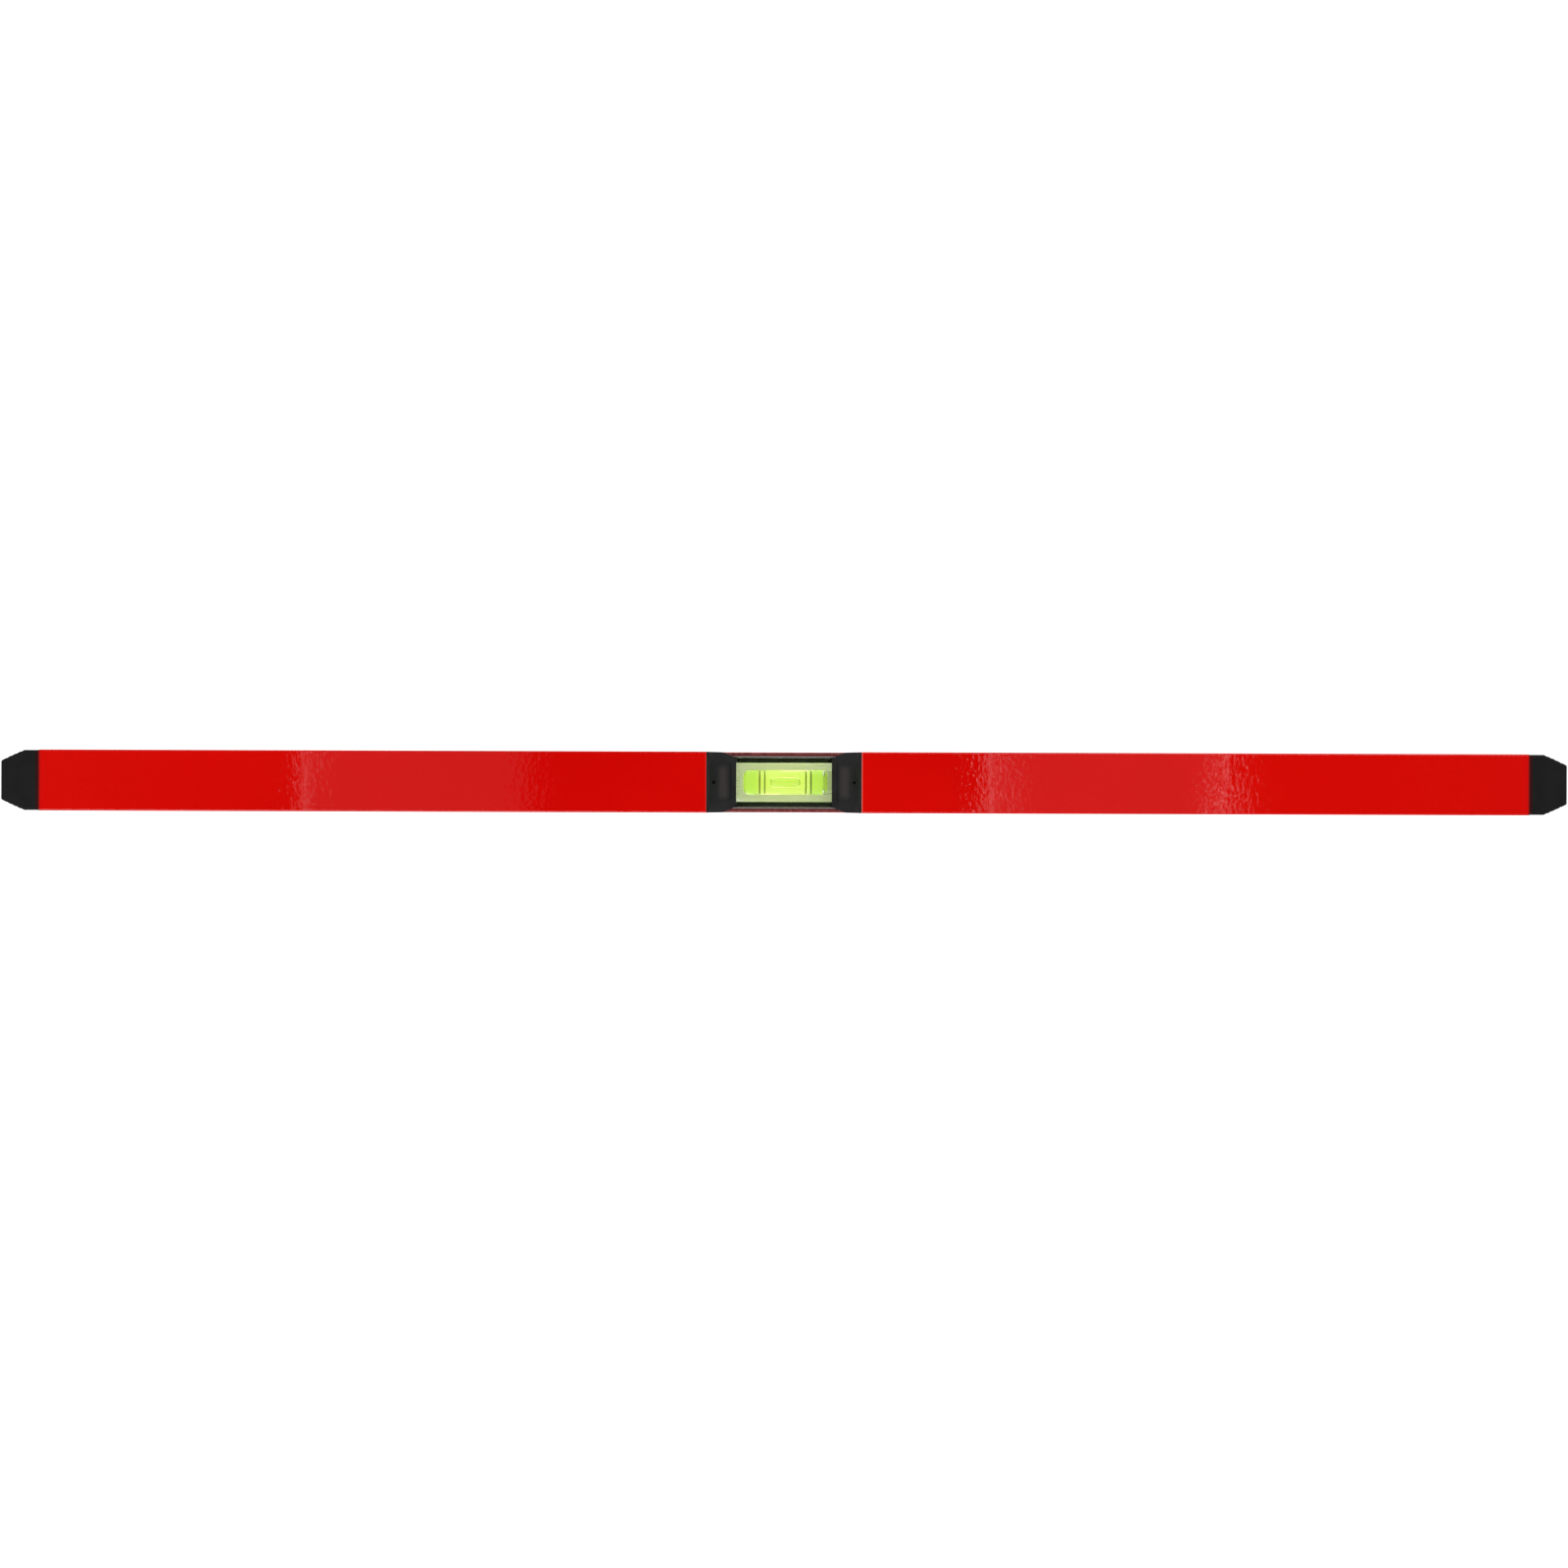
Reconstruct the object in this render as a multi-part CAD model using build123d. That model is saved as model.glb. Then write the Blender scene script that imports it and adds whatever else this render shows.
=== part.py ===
"""Box-section spirit level, 600 mm long: an aluminium profile with one centre vial and two plumb vials.

The row frame is +X along the level, +Y across it and +Z up. The origin is the middle of the lower
measuring face, so the level stands on z = 0. All sizes are in millimetres.
"""

from build123d import *
import os

# Driving dimensions
TOTAL_LENGTH = 600.0
WIDTH = 23.5
HEIGHT = 58.0
CAP_LENGTH = 14.8

# Fits: running clearance, and how far a cutter runs past a face
FIT_GAP = 0.05
OVERSHOOT = 1.0

# Profile: a closed box section
PROFILE_LENGTH = TOTAL_LENGTH - 2 * CAP_LENGTH
PROFILE_END = PROFILE_LENGTH / 2
SIDE_WALL = 1.5
FACE_WALL = 2.0
OUTER_CORNER = 0.6
INNER_CORNER = 1.0
LINE_GROOVE_R = 0.5
LINE_GROOVE_INSET = 4.5
HALF_WIDTH = WIDTH / 2
INNER_HALF_WIDTH = HALF_WIDTH - SIDE_WALL
INNER_TOP = HEIGHT - FACE_WALL

# Notch for the centre vial, through the top wall and down both side walls
NOTCH_HALF_TOP = 29.75
NOTCH_SHOULDER_Z = 54.0
NOTCH_HALF_FLOOR = 22.5
NOTCH_FLOOR_Z = 36.0
NOTCH_ROUND = 3.0

# Block vial, in a local frame whose X is the tube's axis and whose origin lies midway between its lines
BLOCK_LENGTH = 40.0
BLOCK_SIDE = 15.0
BLOCK_SHIFT = -0.5
BLOCK_EDGE = 0.3
BORE_R = 4.5
BORE_HALF_LENGTH = 16.0
BORE_END_ROUND = 2.0
BARREL_SAG = 0.08
PLUG_R = 4.2
PLUG_RECESS = 0.2
LIQUID_GAP = 0.02
LINE_WIDTH = 0.45
LINE_DEPTH = 0.18
LINE_CLEARANCE = 0.02
LINE_OFFSETS = (-9.77, -7.83, 7.83, 9.77)

# Bubbles: a long one under the crown of a lying tube, a flattened one at the top of a standing tube
BUBBLE_LENGTH = 11.7
BUBBLE_R = 1.95
BUBBLE_RISE = 3.0
BUBBLE_CROWN_R = 4.2
BUBBLE_SWEEP_GAP = 0.1
BUBBLE_TRAVEL = 9.4
ROUND_BUBBLE_R = 3.4
ROUND_BUBBLE_HALF_HEIGHT = 2.08
ROUND_BUBBLE_RIM = 1.9
ROUND_BUBBLE_END_GAP = 0.3
ROUND_BUBBLE_REACH = BORE_HALF_LENGTH - ROUND_BUBBLE_HALF_HEIGHT - ROUND_BUBBLE_END_GAP

# Centre vial holder
VIAL_X = 0.5
BACKING_THICKNESS = 0.6
BLOCK_FLOOR_Z = NOTCH_FLOOR_Z + 0.5
VIAL_Z = BLOCK_FLOOR_Z + BLOCK_SIDE / 2
BLOCK_TOP_Z = BLOCK_FLOOR_Z + BLOCK_SIDE
HOLDER_BASE_Z = 31.0
HOLDER_HALF_WIDTH = INNER_HALF_WIDTH - 0.05
HOLDER_HALF_LENGTH = NOTCH_HALF_TOP - 0.1
LIP_HALF_WIDTH = HALF_WIDTH - 0.15
LIP_CLEARANCE = 0.1
WINDOW_HALF_LENGTH = 18.4
LIP_TAPER_X = 24.0
LIP_TAPER_MID = (21.2, 10.6)
LIP_TAPER_HALF_WIDTH = 9.1
SCOOP_RIM_X = 28.7
SCOOP_MID = (25.2, 54.2)
SCOOP_INNER_Z = BLOCK_TOP_Z + 0.75
SCOOP_RIM_RISE = 0.2
RECESS_X = (20.3, 26.0)
RECESS_HALF_WIDTH = 7.3
RECESS_DEPTH = 0.6
PIN_HOLE_X = 27.0
PIN_HOLE_R = 0.65
PIN_HOLE_DEPTH = 4.0
CORE_X = (21.6, 28.0)
CORE_HALF_WIDTH = 7.0
CORE_TOP_Z = 50.0
HOOK_REACH = 3.0
HOOK_HALF_WIDTH = 6.0
HOOK_HEIGHT = 4.0
HOOK_ROOT = 0.5
HOOK_TIP_HEIGHT = 1.0

# Clear side panes of the centre vial
PANE_THICKNESS = 0.75
PANE_HALF_LENGTH = 20.0
PANE_OUTER_Y = INNER_HALF_WIDTH - 0.1
PANE_BASE_Z = 34.0
PANE_TOP_Z = BLOCK_TOP_Z
PANE_CORNER = 1.0

# Plumb vials
PLUMB_X = 235.0
PLUMB_Z = HEIGHT / 2
PLUMB_HOLE = (25.0, 46.0)
PLUMB_HOLE_R = 7.0
PLUMB_WINDOW_INNER = (12.6, 36.4)
PLUMB_WINDOW_OUTER = (17.4, 41.6)
PLUMB_WINDOW_R = (2.0, 4.0)
FRAME_RECESS = 0.2
FRAME_EDGE = 0.4
DOWEL_R = 1.0
DOWEL_LENGTH = 2.5
DOWEL_AT = (10.0, 12.0)
DOWEL_END_GAP = 0.3
SNAP_RIB_R = 0.5
SNAP_RIB_LENGTH = 12.0
SNAP_RIB_SETBACK = 0.1

# End caps
CAP_HALF_WIDTH = 11.55
CAP_EDGE_Z = 0.2
NECK_LENGTH = 1.0
NECK_INSET = 0.9
CAP_FLANK = 5.7
CAP_NOSE_HALF_WIDTH = 7.5
CAP_TAPER_MID = (10.3, 9.6)
CAP_SHOULDER = 8.5
CAP_NOSE_DROP = 0.9
CAP_EDGE_ROUND = 0.9
CHEEK_BULGE = 0.3
CHEEK_BULGE_REACH = 5.0
GRIP_GROOVES = 4
GRIP_START = 1.0
GRIP_PITCH = 1.9
GRIP_WIDTH = 0.7
GRIP_DEPTH = 0.35
SOCKET_PLUG_DEPTH = 18.0
SOCKET_PLUG_GAP = 0.12
SOCKET_PLUG_WALL = 2.0
SOCKET_PLUG_LEAD_IN = 0.8
CRUSH_RIB_R = 0.5
CRUSH_RIB_LENGTH = 14.0
CRUSH_RIB_SETBACK = 1.0


def box_between(low, high):
    """A box from its lowest corner to its highest."""
    size = [b - a for a, b in zip(low, high)]
    return Pos(*low) * Box(*size, align=(Align.MIN, Align.MIN, Align.MIN))


def x_cylinder(radius, start, end):
    """A cylinder along X, from start to end."""
    return Pos(start, 0, 0) * Rot(0, 90, 0) * Cylinder(
        radius, end - start, align=(Align.CENTER, Align.CENTER, Align.MIN)
    )


def across(outline, half_width):
    """An XZ outline, extruded to half_width on both sides of y = 0."""
    return extrude(Plane.XZ * outline, half_width, both=True)


# Profile


def notch_outline(clearance=0.0):
    """The notch's XZ outline, open upwards, drawn in by a clearance."""
    top, floor = NOTCH_HALF_TOP - clearance, NOTCH_FLOOR_Z + clearance
    foot = NOTCH_HALF_FLOOR - clearance
    above = HEIGHT + OVERSHOOT
    right = [(foot, floor), (top, NOTCH_SHOULDER_Z), (top, above)]
    left = [(-x, z) for x, z in reversed(right)]
    outline = Polygon(*right, *left, align=None)
    corners = outline.vertices().filter_by(lambda v: v.Y < HEIGHT)
    return fillet(corners, NOTCH_ROUND)


def plumb_outline(clearance=0.0):
    """The rounded XZ outline of a plumb vial's hole about its own centre."""
    width, height = (size - 2 * clearance for size in PLUMB_HOLE)
    return RectangleRounded(width, height, PLUMB_HOLE_R - clearance)


def make_profile():
    """The box extrusion with two lines down each side, the notch and the plumb vials' holes."""
    section = RectangleRounded(WIDTH, HEIGHT, OUTER_CORNER)
    section -= RectangleRounded(WIDTH - 2 * SIDE_WALL, HEIGHT - 2 * FACE_WALL, INNER_CORNER)
    groove_height = HEIGHT / 2 - LINE_GROOVE_INSET
    for y in (-HALF_WIDTH, HALF_WIDTH):
        for z in (-groove_height, groove_height):
            section -= Pos(y, z) * Circle(LINE_GROOVE_R)
    profile = extrude(Plane((0, 0, HEIGHT / 2), (0, 1, 0), (1, 0, 0)) * section, PROFILE_END, both=True)
    profile -= across(notch_outline(), WIDTH)
    for x in (-PLUMB_X, PLUMB_X):
        profile -= across(Pos(x, PLUMB_Z) * plumb_outline(), WIDTH)
    return profile


# Block vials, in their local frame


def barrel(radius):
    """A barrel-shaped solid about X with one rounded end, as wide as radius at its middle."""
    half, end_r = BORE_HALF_LENGTH, radius - BARREL_SAG
    corner = BORE_END_ROUND * (1 - 0.5**0.5)
    outline = Line((half, 0), (-half, 0))
    outline += Line((-half, 0), (-half, end_r - BORE_END_ROUND))
    outline += ThreePointArc(
        (-half, end_r - BORE_END_ROUND),
        (-half + corner, end_r - corner),
        (-half + BORE_END_ROUND, end_r),
    )
    outline += ThreePointArc((-half + BORE_END_ROUND, end_r), (0, radius), (half, end_r))
    outline += Line((half, end_r), (half, 0))
    return revolve(make_face(outline), Axis.X)


def make_block():
    """The clear block: a barrel bore closed at one end, four line grooves and the plug's seat."""
    block = Pos(BLOCK_SHIFT, 0, 0) * Box(BLOCK_LENGTH, BLOCK_SIDE, BLOCK_SIDE)
    block = chamfer(block.edges(), BLOCK_EDGE)
    block -= barrel(BORE_R)
    block -= x_cylinder(PLUG_R + LINE_CLEARANCE, BORE_HALF_LENGTH - LIQUID_GAP, BLOCK_LENGTH)
    half = LINE_WIDTH / 2 + LINE_CLEARANCE
    for x in LINE_OFFSETS:
        block -= x_cylinder(BORE_R + LINE_DEPTH + LINE_CLEARANCE, x - half, x + half)
    return block


def make_plug():
    """The round plug that closes the bore after filling."""
    return x_cylinder(PLUG_R, BORE_HALF_LENGTH, BLOCK_LENGTH / 2 + BLOCK_SHIFT - PLUG_RECESS)


def make_lines():
    """The four black rings that the bubble is read against."""
    rings = []
    for x in LINE_OFFSETS:
        start, end = x - LINE_WIDTH / 2, x + LINE_WIDTH / 2
        rings.append(x_cylinder(BORE_R + LINE_DEPTH, start, end) - x_cylinder(BORE_R, start, end))
    return rings


def long_bubble(radius, length, crown_r):
    """A capsule along X whose upper side is cut to the crown of the tube."""
    straight = length / 2 - radius
    capsule = x_cylinder(radius, -straight, straight)
    capsule += Pos(-straight, 0, 0) * Sphere(radius)
    capsule += Pos(straight, 0, 0) * Sphere(radius)
    return Pos(0, 0, BUBBLE_RISE) * capsule & x_cylinder(crown_r, -length, length)


def round_bubble(radius, half_height):
    """A flat round bubble about X, with a full rim."""
    disc = x_cylinder(radius, -half_height, half_height)
    return fillet(disc.edges().filter_by(GeomType.CIRCLE), ROUND_BUBBLE_RIM)


def liquid_around(swept):
    """The liquid, less the space that its bubble sweeps."""
    return barrel(BORE_R - LIQUID_GAP) - swept


def lying_vial():
    """The centre vial's pieces in the local frame, its bubble midway between the lines."""
    gap = BUBBLE_SWEEP_GAP
    swept = long_bubble(BUBBLE_R + gap, BUBBLE_LENGTH + 2 * (BUBBLE_TRAVEL + gap), BUBBLE_CROWN_R + gap)
    bubble = long_bubble(BUBBLE_R, BUBBLE_LENGTH, BUBBLE_CROWN_R)
    return liquid_around(swept), bubble


def standing_vial():
    """A plumb vial's pieces in the local frame, its bubble at the closed end."""
    gap, reach = BUBBLE_SWEEP_GAP, ROUND_BUBBLE_REACH
    swept = round_bubble(ROUND_BUBBLE_R + gap, reach + ROUND_BUBBLE_HALF_HEIGHT + gap)
    bubble = round_bubble(ROUND_BUBBLE_R, ROUND_BUBBLE_HALF_HEIGHT)
    return liquid_around(swept), Pos(-reach, 0, 0) * bubble


def vial_nodes(prefix, place, liquid, bubble):
    """Every node of one block vial, moved to its place in the level."""
    return {
        f"{prefix}_vial_block": place * make_block(),
        f"{prefix}_vial_plug": place * make_plug(),
        f"{prefix}_vial_lines": Compound(children=[place * ring for ring in make_lines()]),
        f"{prefix}_vial_liquid": place * liquid,
        f"{prefix}_vial_bubble": place * bubble,
    }


# Centre vial holder, panes and backing


def lip_plan():
    """The holder's XY outline above the notch floor: full width, narrowing in a curve to the window."""
    outer, inner = LIP_HALF_WIDTH, LIP_TAPER_HALF_WIDTH
    window, end = WINDOW_HALF_LENGTH, HOLDER_HALF_LENGTH
    mid_x, mid_y = LIP_TAPER_MID
    outline = Line((window, -inner), (window, inner))
    outline += ThreePointArc((window, inner), (mid_x, mid_y), (LIP_TAPER_X, outer))
    outline += Line((LIP_TAPER_X, outer), (end, outer))
    outline += Line((end, outer), (end, -outer))
    outline += Line((end, -outer), (LIP_TAPER_X, -outer))
    outline += ThreePointArc((LIP_TAPER_X, -outer), (mid_x, -mid_y), (window, -inner))
    return make_face(outline)


def scoop_space(drop=0.0, start=None, end=None):
    """The XZ outline of the open space above one scooped end, drop lower, between two X values."""
    foot = WINDOW_HALF_LENGTH - OVERSHOOT
    start = foot if start is None else start
    end = SCOOP_RIM_X if end is None else end
    above = HEIGHT + OVERSHOOT
    inner, rim = (foot, SCOOP_INNER_Z - drop), (SCOOP_RIM_X, HEIGHT + SCOOP_RIM_RISE - drop)
    middle = (SCOOP_MID[0], SCOOP_MID[1] - drop)
    outline = ThreePointArc(inner, middle, rim)
    outline += Line(rim, (rim[0], above))
    outline += Line((rim[0], above), (inner[0], above))
    outline += Line((inner[0], above), inner)
    space = make_face(outline)
    return space & Pos((start + end) / 2, HEIGHT) * Rectangle(end - start, HEIGHT)


def hook_outline():
    """The XZ outline of the snap hook that catches under the profile's top wall."""
    root, tip = HOLDER_HALF_LENGTH - HOOK_ROOT, HOLDER_HALF_LENGTH + HOOK_REACH
    top = INNER_TOP - FIT_GAP
    return Polygon(
        (root, top),
        (tip, top),
        (tip, top - HOOK_TIP_HEIGHT),
        (root, top - HOOK_HEIGHT),
        align=None,
    )


def holder_end():
    """The holder's end on the +X side: lips in the notch, scoop, recess, pin hole and snap hook."""
    notch = across(notch_outline(LIP_CLEARANCE), LIP_HALF_WIDTH)
    end = extrude(lip_plan(), HEIGHT) & notch
    body_low = (WINDOW_HALF_LENGTH, -HOLDER_HALF_WIDTH, HOLDER_BASE_Z)
    body_high = (HOLDER_HALF_LENGTH, HOLDER_HALF_WIDTH, INNER_TOP - FIT_GAP)
    end += box_between(body_low, body_high) & extrude(lip_plan(), HEIGHT)
    end &= box_between((0, -WIDTH, 0), (PROFILE_END, WIDTH, HEIGHT))
    end += across(hook_outline(), HOOK_HALF_WIDTH)
    end -= across(scoop_space(), WIDTH)
    end -= across(scoop_space(RECESS_DEPTH, *RECESS_X), RECESS_HALF_WIDTH)
    hole = Cylinder(PIN_HOLE_R, 2 * PIN_HOLE_DEPTH)
    end -= Pos(PIN_HOLE_X, 0, HEIGHT) * hole
    core_low = (CORE_X[0], -CORE_HALF_WIDTH, 0)
    end -= box_between(core_low, (CORE_X[1], CORE_HALF_WIDTH, CORE_TOP_Z))
    return end


def make_holder():
    """The black holder: a floor and two scooped ends, with seats for the block, backing and panes."""
    floor_top = BLOCK_FLOOR_Z - BACKING_THICKNESS
    floor_reach = WINDOW_HALF_LENGTH + OVERSHOOT
    holder = box_between(
        (-floor_reach, -HOLDER_HALF_WIDTH, HOLDER_BASE_Z), (floor_reach, HOLDER_HALF_WIDTH, floor_top)
    )
    right = holder_end()
    holder += right
    holder += mirror(right, Plane.YZ)
    seat_x, seat_y = BLOCK_LENGTH / 2 + FIT_GAP, BLOCK_SIDE / 2 + FIT_GAP
    holder -= box_between((-seat_x, -seat_y, floor_top), (seat_x, seat_y, BLOCK_TOP_Z + FIT_GAP))
    slot_x = PANE_HALF_LENGTH + FIT_GAP
    slot_y = PANE_OUTER_Y - PANE_THICKNESS - FIT_GAP
    slot = box_between((-slot_x, slot_y, PANE_BASE_Z - FIT_GAP), (slot_x, WIDTH, PANE_TOP_Z + FIT_GAP))
    slot &= box_between((-slot_x, 0, 0), (slot_x, INNER_HALF_WIDTH, HEIGHT))
    holder -= slot
    holder -= mirror(slot, Plane.XZ)
    return holder


def make_pane(side):
    """One clear pane between a side wall and the vial; side is -1 at the front and 1 at the back."""
    inner_y = PANE_OUTER_Y - PANE_THICKNESS
    pane = box_between(
        (-PANE_HALF_LENGTH, inner_y, PANE_BASE_Z), (PANE_HALF_LENGTH, PANE_OUTER_Y, PANE_TOP_Z)
    )
    pane = chamfer(pane.edges().filter_by(Axis.Y), PANE_CORNER)
    return pane if side > 0 else mirror(pane, Plane.XZ)


def make_backing():
    """The white plate under the centre vial's block."""
    half_x, half_y = BLOCK_LENGTH / 2, BLOCK_SIDE / 2
    low_z = BLOCK_FLOOR_Z - BACKING_THICKNESS
    return box_between((-half_x, -half_y, low_z), (half_x, half_y, BLOCK_FLOOR_Z))


# Plumb vial frames


def dowels(radius, length, side):
    """Two round dowels from the middle plane, towards the front for side -1 and the back for side 1."""
    x, z = DOWEL_AT
    turned = Rot(-90 * side, 0, 0) * Cylinder(radius, length, align=(Align.CENTER, Align.CENTER, Align.MIN))
    return Pos(x, 0, z) * turned + Pos(-x, 0, -z) * turned


def window_cutter(side):
    """The flared opening from the block's face out to the frame's face."""
    inner_y, outer_y = BLOCK_SIDE / 2, HALF_WIDTH
    sketches = []
    for y, size, corner in (
        (inner_y, PLUMB_WINDOW_INNER, PLUMB_WINDOW_R[0]),
        (outer_y, PLUMB_WINDOW_OUTER, PLUMB_WINDOW_R[1]),
    ):
        plane = Plane((0, side * y, 0), (1, 0, 0), (0, side, 0))
        sketches.append(plane * RectangleRounded(*size, corner))
    return loft(sketches)


def make_plumb_frame(x, side):
    """Half of a plumb vial's frame: the block's pocket, a flared window, snap ribs and the dowel joint."""
    depth = HALF_WIDTH - FRAME_RECESS
    face = Plane((0, 0, 0), (1, 0, 0), (0, side, 0))
    half = extrude(face * plumb_outline(FIT_GAP), depth)
    outer_rim = half.faces().sort_by(Axis.Y)[-1 if side > 0 else 0]
    half = chamfer(outer_rim.edges(), FRAME_EDGE)
    rib_x = PLUMB_HOLE[0] / 2 - FIT_GAP - SNAP_RIB_SETBACK
    rib_y = side * (INNER_HALF_WIDTH - SNAP_RIB_R - FIT_GAP)
    for rib_side in (-1, 1):
        half += Pos(rib_side * rib_x, rib_y, 0) * Cylinder(SNAP_RIB_R, SNAP_RIB_LENGTH)
    pocket = Box(BLOCK_SIDE + 2 * FIT_GAP, BLOCK_SIDE + 2 * FIT_GAP, BLOCK_LENGTH + 2 * FIT_GAP)
    half -= pocket
    half -= window_cutter(side)
    if side < 0:
        half += dowels(DOWEL_R, DOWEL_LENGTH, 1)
    else:
        half -= dowels(DOWEL_R + FIT_GAP, DOWEL_LENGTH + DOWEL_END_GAP, 1)
    return Pos(x, 0, PLUMB_Z) * half


# End caps


def cap_plan():
    """The bumper's XY outline, measured from the profile's end."""
    half, nose = CAP_HALF_WIDTH, CAP_NOSE_HALF_WIDTH
    mid_x, mid_y = CAP_TAPER_MID
    upper = Line((NECK_LENGTH, half), (CAP_FLANK, half))
    upper += ThreePointArc((CAP_FLANK, half), (mid_x, mid_y), (CAP_LENGTH, nose))
    outline = upper + mirror(upper, Plane.XZ)
    outline += Line((CAP_LENGTH, nose), (CAP_LENGTH, -nose))
    outline += Line((NECK_LENGTH, half), (NECK_LENGTH, -half))
    return make_face(outline)


def cap_side():
    """The bumper's XZ outline, measured from the profile's end: its top and foot fall away to the nose."""
    low, high = CAP_EDGE_Z, HEIGHT - CAP_EDGE_Z
    return Polygon(
        (NECK_LENGTH, low),
        (CAP_SHOULDER, low),
        (CAP_LENGTH, low + CAP_NOSE_DROP),
        (CAP_LENGTH, high - CAP_NOSE_DROP),
        (CAP_SHOULDER, high),
        (NECK_LENGTH, high),
        align=None,
    )


def grip_grooves():
    """Upright grooves across the tapered cheeks of the bumper."""
    grooves = []
    slope = (CAP_HALF_WIDTH - CAP_NOSE_HALF_WIDTH) / (CAP_LENGTH - CAP_FLANK)
    for i in range(GRIP_GROOVES):
        x = CAP_FLANK + GRIP_START + i * GRIP_PITCH
        bulge = CHEEK_BULGE * (1 - ((x - CAP_TAPER_MID[0]) / CHEEK_BULGE_REACH) ** 2)
        y = CAP_HALF_WIDTH - slope * (x - CAP_FLANK) + bulge
        for side in (-1, 1):
            groove = Box(GRIP_WIDTH, 2 * GRIP_DEPTH, 2 * HEIGHT)
            grooves.append(Pos(x, side * y, 0) * groove)
    return grooves


def socket_plug():
    """The hollow plug that presses into the profile, with crush ribs on its sides."""
    half_y = INNER_HALF_WIDTH - SOCKET_PLUG_GAP
    half_z = HEIGHT / 2 - FACE_WALL - SOCKET_PLUG_GAP
    middle = HEIGHT / 2
    plug = box_between((-SOCKET_PLUG_DEPTH, -half_y, middle - half_z), (0, half_y, middle + half_z))
    plug = chamfer(plug.edges().filter_by(Axis.X), INNER_CORNER)
    lead_in = plug.faces().sort_by(Axis.X)[0]
    plug = chamfer(lead_in.edges(), SOCKET_PLUG_LEAD_IN)
    wall = SOCKET_PLUG_WALL
    cell_height = half_z - 1.5 * wall
    for low_z in (middle - half_z + wall, middle + wall / 2):
        cell_low = (-WIDTH, -half_y + wall, low_z)
        plug -= box_between(cell_low, (-wall, half_y - wall, low_z + cell_height))
    rib_y = INNER_HALF_WIDTH - LINE_CLEARANCE - CRUSH_RIB_R
    rib = Rot(0, 90, 0) * Cylinder(CRUSH_RIB_R, CRUSH_RIB_LENGTH)
    for y in (-rib_y, rib_y):
        for z in (middle - half_z / 2, middle + half_z / 2):
            plug += Pos(-CRUSH_RIB_LENGTH / 2 - CRUSH_RIB_SETBACK, y, z) * rib
    return plug


def make_right_cap():
    """A one-piece end cap: bumper, neck and the plug inside the profile."""
    bumper = extrude(cap_plan(), HEIGHT) & across(cap_side(), WIDTH)
    rounded = bumper.edges().filter_by(lambda e: e.center().X > NECK_LENGTH + FIT_GAP)
    bumper = fillet(rounded, CAP_EDGE_ROUND)
    for groove in grip_grooves():
        bumper -= groove
    neck_half = CAP_HALF_WIDTH - NECK_INSET
    neck = box_between((0, -neck_half, NECK_INSET), (NECK_LENGTH, neck_half, HEIGHT - NECK_INSET))
    return Pos(PROFILE_END, 0, 0) * (bumper + neck + socket_plug())


# Assembly


def all_nodes():
    """Every node's name and shape."""
    right_cap = make_right_cap()
    nodes = {
        "profile": make_profile(),
        "right_end_cap": right_cap,
        "left_end_cap": mirror(right_cap, Plane.YZ),
        "centre_vial_holder": make_holder(),
        "centre_vial_backing": make_backing(),
        "centre_front_pane": make_pane(-1),
        "centre_back_pane": make_pane(1),
    }
    nodes.update(vial_nodes("centre", Pos(VIAL_X, 0, VIAL_Z), *lying_vial()))
    for prefix, x in (("left_plumb", -PLUMB_X), ("right_plumb", PLUMB_X)):
        nodes[f"{prefix}_frame_front"] = make_plumb_frame(x, -1)
        nodes[f"{prefix}_frame_back"] = make_plumb_frame(x, 1)
        upright = Pos(x, 0, PLUMB_Z + BLOCK_SHIFT) * Rot(0, 90, 0)
        nodes.update(vial_nodes(prefix, upright, *standing_vial()))
    return nodes


def main():
    """Writes one STEP file for each node."""
    os.makedirs("parts", exist_ok=True)
    for name, shape in all_nodes().items():
        export_step(shape, f"parts/{name}.step")


main()
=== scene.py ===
"""Looks of a box-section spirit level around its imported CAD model: coat, moulded plastic, acrylic and liquid."""

import math

import bmesh
import bpy
from mathutils import Matrix, Vector


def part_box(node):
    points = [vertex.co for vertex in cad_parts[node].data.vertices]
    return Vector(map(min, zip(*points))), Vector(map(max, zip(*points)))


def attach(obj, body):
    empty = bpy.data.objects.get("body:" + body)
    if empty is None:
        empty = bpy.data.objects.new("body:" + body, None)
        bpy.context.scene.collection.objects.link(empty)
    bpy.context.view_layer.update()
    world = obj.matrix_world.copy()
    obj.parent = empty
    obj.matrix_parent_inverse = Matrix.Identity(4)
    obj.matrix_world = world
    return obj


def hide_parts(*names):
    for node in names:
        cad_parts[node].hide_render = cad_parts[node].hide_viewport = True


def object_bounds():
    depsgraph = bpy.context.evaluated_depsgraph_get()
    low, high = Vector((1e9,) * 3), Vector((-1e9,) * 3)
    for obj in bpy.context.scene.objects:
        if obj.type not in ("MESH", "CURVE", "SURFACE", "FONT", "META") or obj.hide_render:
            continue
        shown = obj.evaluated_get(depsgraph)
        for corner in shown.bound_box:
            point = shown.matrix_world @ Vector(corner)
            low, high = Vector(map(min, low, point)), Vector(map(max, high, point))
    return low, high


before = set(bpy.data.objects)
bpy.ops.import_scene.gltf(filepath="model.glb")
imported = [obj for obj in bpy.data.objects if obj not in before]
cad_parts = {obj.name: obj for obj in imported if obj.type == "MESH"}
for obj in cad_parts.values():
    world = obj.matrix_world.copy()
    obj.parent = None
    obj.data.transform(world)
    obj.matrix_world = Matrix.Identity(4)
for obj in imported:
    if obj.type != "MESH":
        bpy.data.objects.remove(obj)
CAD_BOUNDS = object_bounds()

MM = 0.001
VIALS = ("centre", "left_plumb", "right_plumb")
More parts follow.
